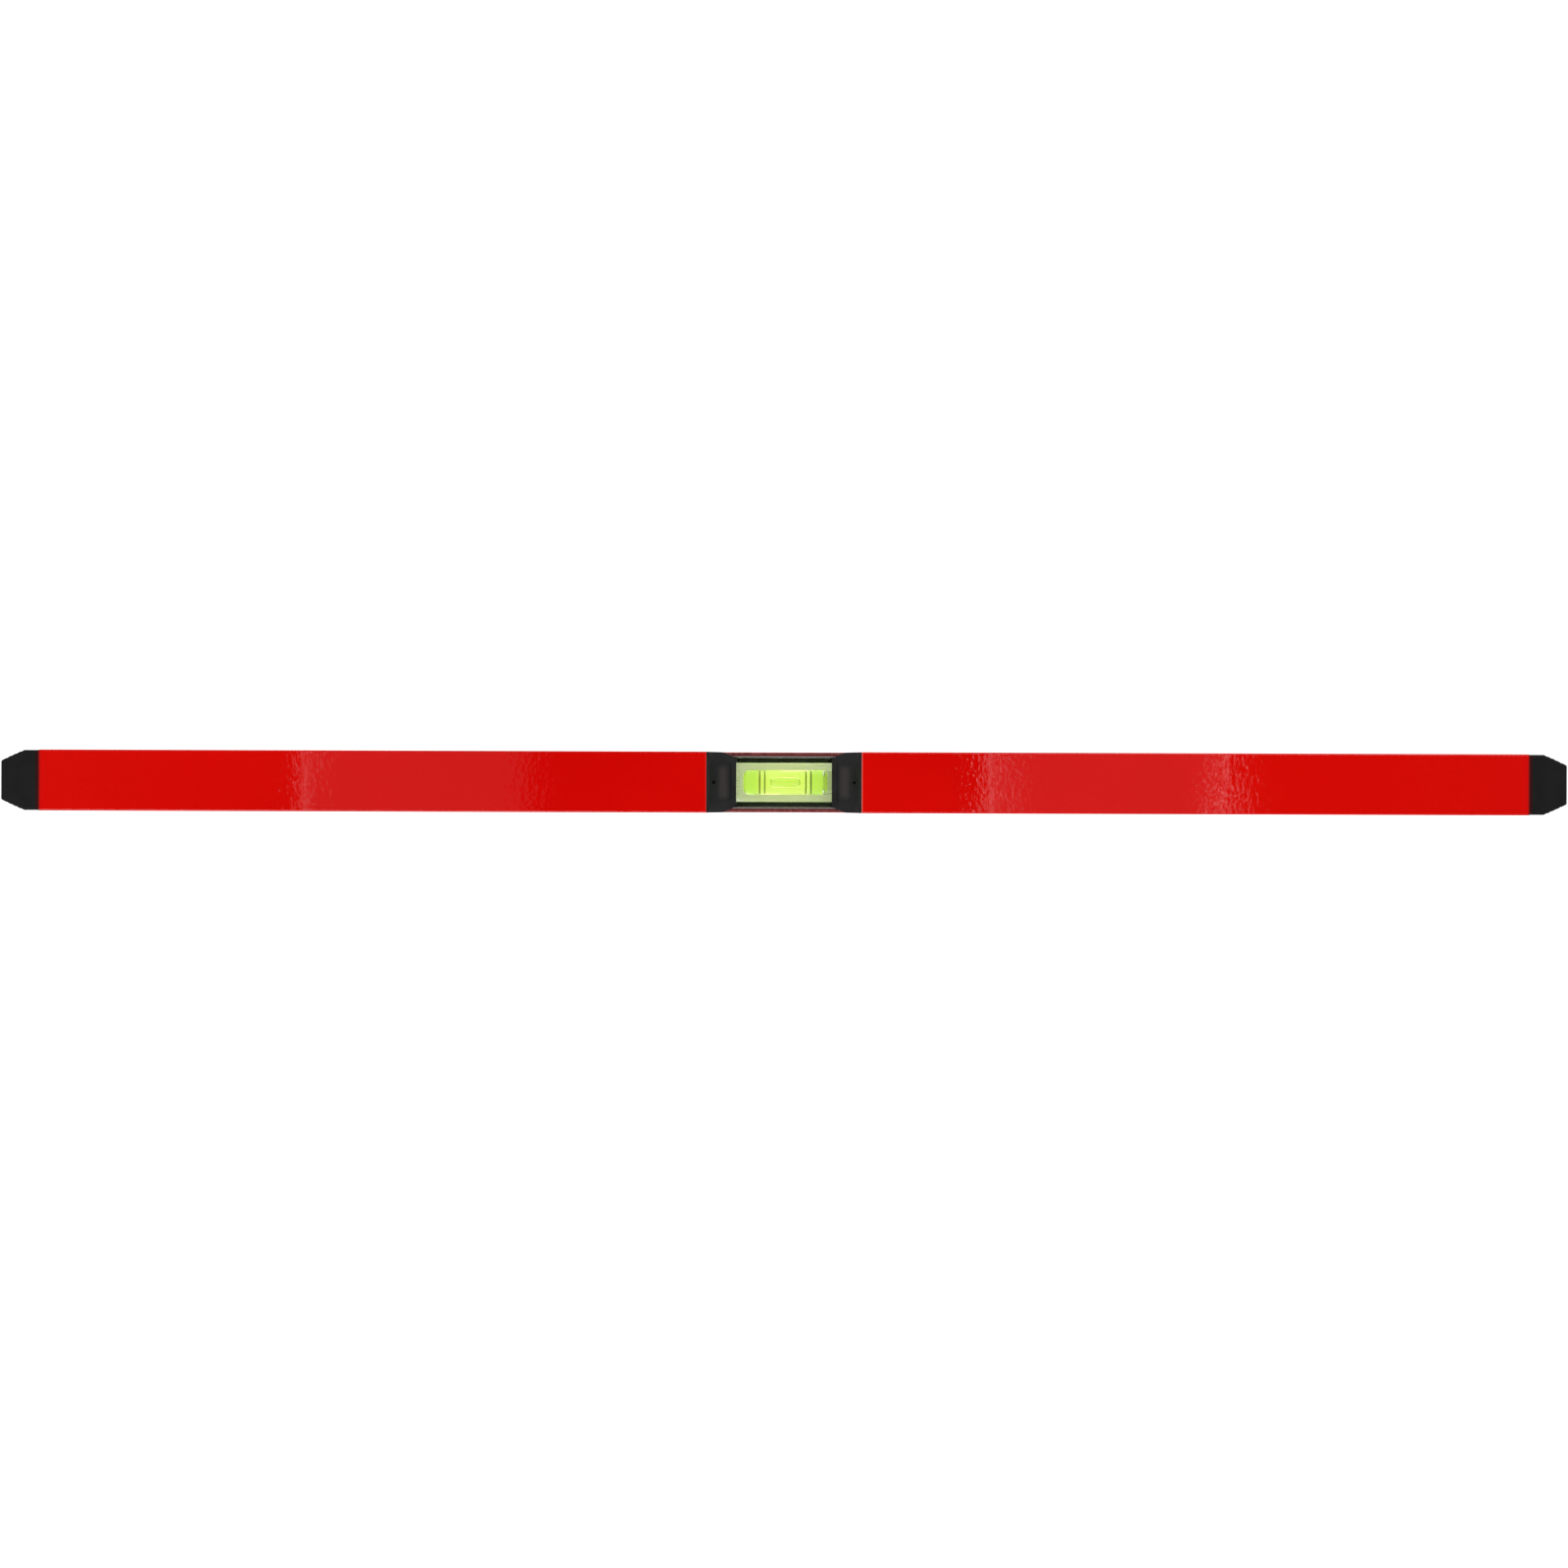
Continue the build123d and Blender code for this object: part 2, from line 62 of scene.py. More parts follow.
PLUMBS = ("left_plumb", "right_plumb")

# The vials' shapes. Each inner piece laps its wall a little, so no film of air shows between them.
WALL_LAP = 0.02 * MM
BORE_R = 4.5 * MM
BARREL_SAG = 0.08 * MM
END_ROUND = 2.0 * MM
PLUG_ROUND = 1.8 * MM
PLUG_R = 4.21 * MM
SEAT_R = 4.19 * MM
RING_R = (4.32 * MM, 4.49 * MM)
RING_WIDTH = 0.45 * MM
RING_OFFSETS = tuple(x * MM for x in (-9.77, -7.83, 7.83, 9.77))
BLOCK_EDGE = 0.3 * MM
RING_CORNER = 0.05 * MM
TURN_STEPS = 160
ON_AXIS_NORMAL = 0.999
PANE_EDGE = 0.12 * MM

# The bubbles' shapes
BUBBLE_BELLY = 2.3 * MM
BUBBLE_RIM_DROP = 0.35 * MM
BUBBLE_RIM_FULLNESS = 0.6
ROUND_BUBBLE_FULLNESS = 0.55
ROUND_BUBBLE_STEPS = 96

# Where a material changes its look, in metres from the level's middle or above its lower face
NOTCH_INSIDE = 0.0299
NOTCH_CUT_EDGE = 0.03005
WALL_TOP = 0.0572
NOTCH_FLOOR = 0.0355
WALL_TONE_Y = (0.0106, 0.0114)
PROFILE_END_SHADE_X = (0.2842, 0.2852)
NECK_REFLECTION_INNER = (0.2850, 0.2852)
NECK_REFLECTION_OUTER = (0.2864, 0.2861)
VIAL_GAP_X = 0.0184
VIAL_GAP_Y = 0.0098
SCOOP_HIGHLIGHT_INNER = (0.0206, 0.0230)
SCOOP_HIGHLIGHT_OUTER = (0.0262, 0.0240)
SCOOP_HIGHLIGHT_SIDE = (0.0078, 0.0045)
PANE_OUTER_Y = (0.00960, 0.00975)
LIQUID_END_X = (0.0085, 0.0115)
BACKING_END_X = (-0.0150, -0.0185)

# Tones, as linear red, green and blue; a pair is the two ends of a mottle
COAT_RED = ((0.44, 0.0012, 0.0004), (0.48, 0.0020, 0.0008))
COAT_FLECK = (0.36, 0.0010, 0.0004)
# Painted highlight: the pink line on the notch's cut edges
COAT_CUT_EDGE_HIGHLIGHT = (0.66, 0.16, 0.13)
# Painted shade at the profile's ends, beside the caps
COAT_END_PAINTED_SHADE = (0.10, 0.006, 0.005)
# Milled wall in the notch: painted shade on its inner side, a painted red reflection on its outer side
WALL_INNER_SHADE = ((0.070, 0.004, 0.004), (0.12, 0.010, 0.010))
WALL_OUTER_RED_REFLECTION = ((0.22, 0.044, 0.044), (0.33, 0.085, 0.085))
PLASTIC_BLACK = (0.0048, 0.0050, 0.0053)
CAP_DARKENING = 0.55
# Painted light: green from the vial on the holder beside the tube
PAINTED_GREEN_LIGHT = (0.017, 0.024, 0.012)
# Painted highlight on each concave scoop
SCOOP_PAINTED_HIGHLIGHT = (0.026, 0.0215, 0.0190)
# Painted reflection of the profile's red ends on the caps' necks
CAP_NECK_PAINTED_REFLECTION = (0.065, 0.003, 0.005)
BLOCK_TINT = (0.965, 0.985, 0.92)
PANE_TINT = (0.95, 0.97, 0.95)
SAWN_PALE = ((0.085, 0.060, 0.055), (0.15, 0.112, 0.104))
SAWN_DARK = (0.016, 0.018, 0.012)
# Painted light and shade: the spirit paler in the middle, darker past the rings
LIQUID_MIDDLE_LIT = ((0.945, 0.99, 0.52), (0.97, 0.995, 0.60))
LIQUID_ENDS_SHADED = ((0.60, 0.82, 0.28), (0.64, 0.85, 0.33))
# Painted light: a glow of the spirit's own
LIQUID_PAINTED_GLOW = (0.60, 0.85, 0.06)
BUBBLE_TINT = ((0.93, 1.0, 0.80), (0.97, 1.0, 0.90))
BACKING_PALE = ((0.89, 0.925, 0.78), (0.94, 0.955, 0.85))
# Painted reflection: streaks of the block's sawn end seen on the backing
BACKING_PAINTED_STREAK = (0.50, 0.52, 0.36)
# Painted light: the backing's own glow
BACKING_PAINTED_GLOW = (0.90, 1.0, 0.55)
PLUG_TINT = ((0.90, 0.94, 0.82), (0.95, 0.97, 0.90))
RING_DARK = ((0.006, 0.014, 0.005), (0.012, 0.024, 0.009))
NO_GLARE = (0.0, 0.0, 0.0)
WHITE = (1.0, 1.0, 1.0)
ACRYLIC_IOR = 1.49
LIQUID_IOR = 1.43

# Camera straight above the level
CAMERA_RISE = 1.0
CAMERA_LENS = 60.02
CAMERA_SENSOR = 36.0
CAMERA_SHIFT_Y = -0.60 * MM
CAMERA_ROLL = math.radians(0.19)

# Studio: softboxes are name, place, size and watts; strips are name, X range on the upper face and radiance
SKY_DARK = 0.02
SKY_BRIGHT = 0.92
SKY_CAP = (0.80, 0.985)
SOFTBOXES = (("key", (-0.45, -0.95, 1.35), 1.2, 17.0), ("fill", (0.55, 1.0, 1.35), 1.2, 12.0))
SOFTBOX_AIM = (0, 0, 0.05)
STRIP_RISE = 1.3
STRIP_WIDTH = 0.7
STRIPS = (
    ("left_strip", (-0.182, -0.098), 0.30),
    ("left_strip_edge", (-0.1835, -0.1805), 5.0),
    ("right_strip", (0.081, 0.168), 0.32),
    ("right_strip_near_edge", (0.0785, 0.0805), 5.0),
    ("right_strip_far_edge", (0.1680, 0.1700), 5.0),
)
FLOOR_SIZE = 12.0
FLOOR_DROP = 0.05 * MM
FLOOR_ALBEDO = 0.4
FLOOR_GLOW = 0.92


# Node helpers


class Shader:
    """One material's node tree, with short calls for the nodes that the materials share."""

    def __init__(self, name):
        self.material = bpy.data.materials.new(name)
        self.material.use_nodes = True
        self.tree = self.material.node_tree
        self.bsdf = self.tree.nodes["Principled BSDF"]
        self.coords = self.tree.nodes.new("ShaderNodeTexCoord").outputs["Object"]

    def put(self, socket, value):
        """Sets a socket's number or colour, or links an output to it."""
        if isinstance(value, bpy.types.NodeSocket):
            self.tree.links.new(value, socket)
        elif isinstance(value, tuple) and len(value) == 3 and len(socket.default_value) == 4:
            socket.default_value = (*value, 1.0)
        else:
            socket.default_value = value

    def set(self, **values):
        """Sets the Principled shader's sockets: base_color stands for Base Color, and so on."""
        names = {"ior": "IOR", "specular_ior_level": "Specular IOR Level"}
        for key, value in values.items():
            self.put(self.bsdf.inputs[names.get(key, key.replace("_", " ").title())], value)

    def stretched(self, scale):
        """The object's coordinates, scaled by three numbers."""
        node = self.tree.nodes.new("ShaderNodeMapping")
        self.put(node.inputs["Vector"], self.coords)
        node.inputs["Scale"].default_value = scale
        return node.outputs["Vector"]

    def noise(self, scale, detail=2.0, vector=None, roughness=0.5):
        """A noise texture's value, with its scale in cells per metre."""
        node = self.tree.nodes.new("ShaderNodeTexNoise")
        self.put(node.inputs["Vector"], vector or self.coords)
        node.inputs["Scale"].default_value = scale
        node.inputs["Detail"].default_value = detail
        node.inputs["Roughness"].default_value = roughness
        return node.outputs["Fac"]

    def cells(self, scale):
        """A Voronoi texture's distance from the nearest cell centre."""
        node = self.tree.nodes.new("ShaderNodeTexVoronoi")
        self.put(node.inputs["Vector"], self.coords)
        node.inputs["Scale"].default_value = scale
        return node.outputs["Distance"]

    def maths(self, operation, a, b=0.0):
        """A Math node's result."""
        node = self.tree.nodes.new("ShaderNodeMath")
        node.operation = operation
        self.put(node.inputs[0], a)
        self.put(node.inputs[1], b)
        return node.outputs[0]

    def times(self, first, *others):
        """The product of all the values."""
        for other in others:
            first = self.maths("MULTIPLY", first, other)
        return first

    def spread(self, value, low, high, to_low=0.0, to_high=1.0):
        """value, taken from low..high to to_low..to_high and clamped, smoothly."""
        node = self.tree.nodes.new("ShaderNodeMapRange")
        node.interpolation_type = "SMOOTHSTEP"
        self.put(node.inputs["Value"], value)
        for key, number in (("From Min", low), ("From Max", high), ("To Min", to_low), ("To Max", to_high)):
            node.inputs[key].default_value = number
        return node.outputs["Result"]

    def blend(self, share, first, second):
        """Two colours, mixed by a share from 0 to 1."""
        node = self.tree.nodes.new("ShaderNodeMix")
        node.data_type = "RGBA"
        self.put(node.inputs[0], share)
        self.put(node.inputs[6], first)
        self.put(node.inputs[7], second)
        return node.outputs[2]

    def axes(self):
        """The object's coordinates as three values."""
        node = self.tree.nodes.new("ShaderNodeSeparateXYZ")
        self.put(node.inputs[0], self.coords)
        return node.outputs

    def away(self, axis):
        """How far a point is from the level's middle along an axis, 0 for X and 1 for Y."""
        return self.maths("ABSOLUTE", self.axes()[axis])

    def facing_up(self):
        """The Z of the surface's normal: 1 where it faces up, -1 where it faces down."""
        geometry = self.tree.nodes.new("ShaderNodeNewGeometry")
        node = self.tree.nodes.new("ShaderNodeSeparateXYZ")
        self.put(node.inputs[0], geometry.outputs["True Normal"])
        return node.outputs["Z"]

    def bump(self, height, distance, strength=1.0, below=None):
        """A bump of that height in metres, over another bump if one is given."""
        node = self.tree.nodes.new("ShaderNodeBump")
        node.inputs["Strength"].default_value = strength
        node.inputs["Distance"].default_value = distance
        self.put(node.inputs["Height"], height)
        if below is not None:
            self.put(node.inputs["Normal"], below)
        return node.outputs["Normal"]


# Materials


def red_coat():
    """Gloss powder coat: red with orange peel and fine flecks, and a milled wall in the notch. Its colour also holds
    painted light and shade: a painted highlight along the notch's cut edges, stronger on the right, painted shade at
    the profile's ends beside the caps, and on the milled wall painted shade inside and a painted red reflection
    outside.
    """
    s = Shader("red_powder_coat")
    tone = s.spread(s.noise(9.0, 3.0), 0.35, 0.65)
    fine = s.spread(s.noise(700.0, 2.0), 0.3, 0.7)
    red = s.blend(tone, *COAT_RED)
    red = s.blend(s.maths("MULTIPLY", fine, 0.12), red, COAT_FLECK)
    x, _, z = s.axes()
    away = s.away(0)

    milled = s.times(
        s.maths("LESS_THAN", away, NOTCH_INSIDE),
        s.maths("LESS_THAN", z, WALL_TOP),
        s.maths("GREATER_THAN", z, NOTCH_FLOOR),
        s.maths("GREATER_THAN", s.facing_up(), 0.25),
    )
    cutter_marks = s.spread(s.noise(1.0, 3.0, s.stretched((900.0, 220.0, 220.0))), 0.3, 0.7)
    outer = s.spread(s.away(1), *WALL_TONE_Y)
    # The milled wall's upper face: dark red on its inner side as painted shade, pale pink on its outer side as bare
    # metal with a painted red reflection.
    milled_wall_shade_and_reflection = s.blend(outer, s.blend(cutter_marks, *WALL_INNER_SHADE), s.blend(cutter_marks, *WALL_OUTER_RED_REFLECTION))

    # Painted highlight: a pink line along the notch's cut edges on the upper face, stronger on the right side.
    notch_edge_highlight = s.times(s.maths("LESS_THAN", away, NOTCH_CUT_EDGE), s.maths("GREATER_THAN", z, WALL_TOP))
    highlight_share_brighter_right = s.maths("ADD", s.maths("MULTIPLY", s.maths("GREATER_THAN", x, 0.0), 0.5), 0.15)
    red = s.blend(s.times(notch_edge_highlight, highlight_share_brighter_right), red, COAT_CUT_EDGE_HIGHLIGHT)
    # Painted shade: the coat darkens towards the profile's ends, beside the caps.
    red = s.blend(s.spread(away, *PROFILE_END_SHADE_X, 0.0, 0.85), red, COAT_END_PAINTED_SHADE)
    s.set(base_color=s.blend(milled, red, milled_wall_shade_and_reflection))

    rubbed = s.spread(s.noise(1.0, 5.0, s.stretched((35.0, 600.0, 600.0)), 0.65), 0.60, 0.72, 0.0, 0.06)
    rough = s.maths("ADD", s.spread(s.noise(60.0, 3.0), 0.3, 0.7, 0.03, 0.045), rubbed)
    s.set(roughness=s.maths("ADD", rough, s.maths("MULTIPLY", milled, 0.25)))
    peel = s.bump(s.noise(650.0, 1.0), 0.000028, 0.7)
    waves = s.bump(s.noise(30.0, 1.0), 0.0006, 0.3, peel)
    s.set(normal=waves, specular_ior_level=0.36, coat_weight=0.08, coat_roughness=0.03)
    return s.material


def black_plastic(name, tone, grain, rough, gloss, in_notch=False):
    """Moulded black plastic: spark-eroded grain, slight mottling and dull handling marks.

    In the notch it carries painted green light from the vial and a painted brownish highlight in each scoop. Elsewhere
    the necks of the caps carry a painted red reflection of the profile's red ends.
    """
    s = Shader(name)
    mottle = s.spread(s.noise(120.0, 4.0), 0.3, 0.7)
    base = s.blend(mottle, tone, tuple(c * 1.45 for c in tone))
    scuffs = s.spread(s.noise(1.0, 4.0, s.stretched((90.0, 420.0, 160.0)), 0.6), 0.62, 0.74)
    base = s.blend(s.maths("MULTIPLY", scuffs, 0.35), base, tuple(c * 2.4 for c in tone))
    rough_map = s.maths("ADD", s.spread(mottle, 0.0, 1.0, rough - 0.04, rough + 0.05), s.maths("MULTIPLY", scuffs, 0.1))
    away_x, away_y = s.away(0), s.away(1)
    if in_notch:
        # Painted light: green from the vial, on the holder beside the tube.
        green_light_share = s.times(s.maths("LESS_THAN", away_x, VIAL_GAP_X), s.maths("LESS_THAN", away_y, VIAL_GAP_Y))
        base = s.blend(green_light_share, base, PAINTED_GREEN_LIGHT)
        # Painted highlight: a lighter brownish band across each concave scoop.
        scoop_highlight = s.times(
            s.spread(away_x, *SCOOP_HIGHLIGHT_INNER),
            s.spread(away_x, *SCOOP_HIGHLIGHT_OUTER),
            s.spread(away_y, *SCOOP_HIGHLIGHT_SIDE),
            0.65,
        )
        base = s.blend(scoop_highlight, base, SCOOP_PAINTED_HIGHLIGHT)
    else:
        # Painted reflection: a dark red tint on the caps' necks, from the profile's red ends.
        neck_reflection = s.times(s.spread(away_x, *NECK_REFLECTION_INNER), s.spread(away_x, *NECK_REFLECTION_OUTER), 0.8)
        base = s.blend(neck_reflection, base, CAP_NECK_PAINTED_REFLECTION)
    s.set(base_color=base, roughness=rough_map)
    texture = s.bump(s.cells(2600.0), 0.00004 * grain, 0.6)
    s.set(normal=s.bump(s.noise(900.0, 3.0), 0.00003 * grain, 0.6, texture), specular_ior_level=gloss)
    return s.material


def clear_acrylic(name, tint, wetted=False):
    """Cast acrylic with faint flow lines; where liquid wets it, it has no glare of its own."""
    s = Shader(name)
    if wetted:
        s.set(specular_tint=NO_GLARE)
    s.set(base_color=tint, transmission_weight=1.0, ior=ACRYLIC_IOR)
    s.set(roughness=s.spread(s.noise(300.0, 3.0), 0.4, 0.8, 0.0, 0.02))
    s.set(normal=s.bump(s.noise(1.0, 1.0, s.stretched((60.0, 160.0, 160.0))), 0.00001, 0.15))
    return s.material


def sawn_edge():
    """The frosted upper edge of a clear pane: saw marks across it, pale along its outer side."""
    s = Shader("pane_sawn_edge")
    marks = s.spread(s.noise(1.0, 3.0, s.stretched((2600.0, 300.0, 300.0))), 0.3, 0.7)
    outer = s.spread(s.away(1), *PANE_OUTER_Y)
    s.set(base_color=s.blend(outer, SAWN_DARK, s.blend(marks, *SAWN_PALE)), roughness=0.6)
    s.set(normal=s.bump(marks, 0.00005))
    return s.material


def vial_liquid():
    """Yellow-green spirit with a painted glow of its own for its fluorescent dye, painted paler in the middle and
    darker past the rings.
    """
    s = Shader("vial_spirit")
    depth = s.spread(s.noise(130.0, 2.0), 0.3, 0.7)
    # Painted light and shade: the spirit is paler in the middle and darker past the rings.
    past_rings_shade = s.spread(s.away(0), *LIQUID_END_X)
    s.set(base_color=s.blend(past_rings_shade, s.blend(depth, *LIQUID_MIDDLE_LIT), s.blend(depth, *LIQUID_ENDS_SHADED)))
    s.set(transmission_weight=1.0, ior=LIQUID_IOR, roughness=s.spread(s.noise(200.0), 0.3, 0.7, 0.01, 0.03))
    s.set(specular_tint=NO_GLARE)
    # Painted light: a glow of its own that brightens the spirit under any lamp.
    s.set(emission_color=LIQUID_PAINTED_GLOW, emission_strength=0.24)
    return s.material


def bubble_air():
    """The inside of the bubble, seen from the liquid: a boundary where light goes from liquid to air."""
    s = Shader("bubble_air")
    glass = s.tree.nodes.new("ShaderNodeBsdfGlass")
    glass.inputs["IOR"].default_value = 1 / LIQUID_IOR
    s.put(glass.inputs["Color"], s.blend(s.spread(s.noise(400.0), 0.3, 0.7), *BUBBLE_TINT))
    glass.inputs["Roughness"].default_value = 0.0
    output = s.tree.nodes["Material Output"]
    s.tree.links.new(glass.outputs[0], output.inputs["Surface"])
    s.tree.nodes.remove(s.bsdf)
    return s.material


def backing_plate():
    """The pale plate under the vial: a fine mottle, a painted glow, and faint painted streaks past one end of the tube
    where the block's sawn end shows through.
    """
    s = Shader("pale_backing")
    pale = s.blend(s.spread(s.noise(500.0, 4.0), 0.3, 0.7), *BACKING_PALE)
    # Painted reflection: streaks past one end of the tube, for the block's sawn end face seen through the acrylic.
    painted_streaks = s.spread(s.noise(1.0, 3.0, s.stretched((300.0, 1500.0, 300.0))), 0.35, 0.65, 0.35, 1.0)
    past_end = s.spread(s.axes()[0], *BACKING_END_X)
    s.set(base_color=s.blend(s.times(past_end, painted_streaks), pale, BACKING_PAINTED_STREAK))
    s.set(roughness=0.6, normal=s.bump(s.noise(900.0, 2.0), 0.00004))
    # Painted light: the plate glows a little, brightening the vial from below.
    s.set(emission_color=BACKING_PAINTED_GLOW, emission_strength=0.20)
    return s.material


def pale_plug():
    """The filling plug: clear acrylic, frosted where it was pressed and glued."""
    s = Shader("frosted_plug")
    s.set(base_color=s.blend(s.noise(300.0, 2.0), *PLUG_TINT))
    s.set(transmission_weight=1.0, ior=ACRYLIC_IOR, roughness=s.spread(s.noise(500.0, 2.0), 0.3, 0.7, 0.10, 0.22))
    s.set(specular_tint=(0.3, 0.3, 0.3))
    return s.material


def ring_paint():
    """Dark paint of the vials' rings."""
    s = Shader("ring_paint")
    s.set(base_color=s.blend(s.noise(1500.0, 2.0), *RING_DARK))
    s.set(roughness=0.5)
    return s.material


def floor_paper():
    """A plain pale floor that glows a little, like a light table."""
    s = Shader("pale_floor")
    s.set(base_color=s.blend(s.noise(3.0, 2.0), (FLOOR_ALBEDO,) * 3, (FLOOR_ALBEDO * 1.02,) * 3))
    s.set(roughness=0.9, specular_ior_level=0.0)
    s.set(emission_color=WHITE, emission_strength=FLOOR_GLOW)
    return s.material


# Meshes


def new_object(name, data):
    """An object for a mesh, light or camera, in the scene."""
    thing = bpy.data.objects.new(name, data)
    bpy.context.scene.collection.objects.link(thing)
    return thing


def mesh_of(name, shape):
    """The bmesh as a named mesh; the bmesh is freed."""
    mesh = bpy.data.meshes.new(name)
    shape.to_mesh(mesh)
    shape.free()
    return mesh


def bevelled_box(name, middle, size, edge, segments):
    """A box with rounded edges."""
    shape = bmesh.new()
    bmesh.ops.create_cube(shape, size=1.0)
    bmesh.ops.scale(shape, vec=size, verts=shape.verts)
    bmesh.ops.translate(shape, vec=middle, verts=shape.verts)
    bmesh.ops.bevel(shape, geom=shape.edges[:], offset=edge, segments=segments, affect="EDGES", profile=0.5)
    return mesh_of(name, shape)


def turned(name, outline, steps=TURN_STEPS):
    """A closed mesh turned about X from (x, radius) points; a radius of 0 closes an end."""
    shape = bmesh.new()
    loops = []
    for x, radius in outline:
        if radius == 0:
            loops.append([shape.verts.new((x, 0, 0))])
            continue
        angles = (2 * math.pi * i / steps for i in range(steps))
        loops.append([shape.verts.new((x, radius * math.cos(a), radius * math.sin(a))) for a in angles])
    for first, second in zip(loops, loops[1:]):
        for i in range(steps):
            a, b = first[i % len(first)], first[(i + 1) % len(first)]
            c, d = second[(i + 1) % len(second)], second[i % len(second)]
            shape.faces.new(list(dict.fromkeys((a, b, c, d))))
    bmesh.ops.recalc_face_normals(shape, faces=shape.faces)
    return mesh_of(name, shape)


def bore_outline(half, radius, shorter=0.0, arc_steps=10, barrel_steps=24):
    """The bore's (x, radius) points: a rounded closed end, then the barrel to the open end or short of it."""
    end_r = radius - BARREL_SAG
    points = [(-half, 0.0)]
    for i in range(arc_steps + 1):
        a = math.pi / 2 * i / arc_steps
        points.append((-half + END_ROUND * (1 - math.cos(a)), end_r - END_ROUND * (1 - math.sin(a))))
    for i in range(1, barrel_steps + 1):
        x = -half + END_ROUND + (2 * half - END_ROUND - shorter) * i / barrel_steps
        points.append((x, end_r + BARREL_SAG * (1 - (x / half) ** 2)))
    return points


def plug_cup(half, radius, arc_steps=10):
    """The plug's hollow (x, radius) points, from the bore's wall to the middle."""
    wall = radius - BARREL_SAG
    points = []
    for i in range(arc_steps + 1):
        a = math.pi / 2 * i / arc_steps
        points.append((half - PLUG_ROUND * (1 - math.sin(a)), wall - PLUG_ROUND * (1 - math.cos(a))))
    return points + [(half, 0.0)]


def smooth(mesh, angle=math.radians(30)):
    """Smooth shading, with sharp edges kept above the angle."""
    mesh.shade_smooth()
    shape = bmesh.new()
    shape.from_mesh(mesh)
    for edge in shape.edges:
        edge.smooth = len(edge.link_faces) == 2 and edge.calc_face_angle() < angle
    shape.to_mesh(mesh)
    shape.free()


def apply_modifiers(thing):
    """Bakes the object's modifiers into its mesh."""
    bpy.context.view_layer.update()
    evaluated = thing.evaluated_get(bpy.context.evaluated_depsgraph_get())
    mesh = bpy.data.meshes.new_from_object(evaluated)
    thing.modifiers.clear()
    thing.data = mesh


def vial_frame(prefix):
    """The placement of a vial's local frame, whose X is its tube, and its bore's half length."""
    low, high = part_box(f"{prefix}_vial_liquid")
    middle, size = (low + high) / 2, high - low
    if size.x > size.z:
        return Matrix.Translation(middle), size.x / 2
    return Matrix.Translation(middle) @ Matrix.Rotation(math.radians(90), 4, "Y"), size.z / 2


def block_mesh(name, half):
    """The acrylic block: a bevelled bar less its bore and the plug's seat, in the vial's local frame."""
    low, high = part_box("centre_vial_block")
    middle = sum(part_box("centre_vial_liquid"), Vector()) / 2
    size = high - low - Vector((0.0, 0.0, 4 * WALL_LAP))
    bar = new_object(name, bevelled_box(name, (low + high) / 2 - middle, size, BLOCK_EDGE, 3))
    outline = bore_outline(half, BORE_R)
    beyond = high.x - middle.x + MM
    outline += [(half, SEAT_R), (beyond, SEAT_R), (beyond, 0.0)]
    cutter = new_object(name + "_cutter", turned(name + "_cutter", outline))
    cut = bar.modifiers.new("bore", "BOOLEAN")
    cut.operation, cut.solver, cut.object = "DIFFERENCE", "EXACT", cutter
    apply_modifiers(bar)
    bpy.data.objects.remove(cutter)
    smooth(bar.data)
    return bar


def place(thing, matrix, body, material, slot, *nodes):
    """Puts a piece in place on its body, in place of its CAD nodes."""
    thing.data.transform(matrix)
    thing.data.materials.clear()
    thing.data.materials.append(material)
    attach(thing, body)
    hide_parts(*nodes)


def bubble_mesh(name, length, width, top, depth, long_steps=72, round_steps=48):
    """A bubble along X: a stadium in plan, its upper side pressed to the crown, its lower side a shallow belly."""
    shape = bmesh.new()
    half, reach = width / 2, length / 2

    def crown(y):
        """The height of the tube's crown, a circle whose radius is top."""
        return math.sqrt(top**2 - y * y)

    rim = crown(half) - BUBBLE_RIM_DROP
    loops = []
    for i in range(1, long_steps):
        x = -reach * math.cos(math.pi * i / long_steps)
        past = max(0.0, abs(x) - (reach - half)) / half
        share = math.sqrt(max(0.0, 1 - past * past))
        loop = []
        for j in range(round_steps):
            a = 2 * math.pi * j / round_steps
            y, up = half * share * math.cos(a), math.sin(a)
            if up > 0:
                z = rim + (crown(y) - rim) * share**0.5 * up**BUBBLE_RIM_FULLNESS
            else:
                z = rim + (depth - (top - rim)) * share * up
            loop.append(shape.verts.new((x, y, z)))
        loops.append(loop)
    loops.insert(0, [shape.verts.new((-reach, 0, rim))])
    loops.append([shape.verts.new((reach, 0, rim))])
    for first, second in zip(loops, loops[1:]):
        for j in range(round_steps):
            corners = (
                first[j % len(first)],
                first[(j + 1) % len(first)],
                second[(j + 1) % len(second)],
                second[j % len(second)],
            )
            shape.faces.new(list(dict.fromkeys(corners)))
    bmesh.ops.recalc_face_normals(shape, faces=shape.faces)
    mesh = mesh_of(name, shape)
    mesh.shade_smooth()
    return mesh


def round_bubble_mesh(name, radius, half, steps=24):
    """A flat round bubble about X, with a full rim."""
    outline = []
    for i in range(steps + 1):
        a = math.pi * i / steps
        x = -half * math.cos(a)
        outline.append((x, 0.0 if i in (0, steps) else radius * math.sin(a) ** ROUND_BUBBLE_FULLNESS))
    mesh = turned(name, outline, ROUND_BUBBLE_STEPS)
    mesh.shade_smooth()
    return mesh


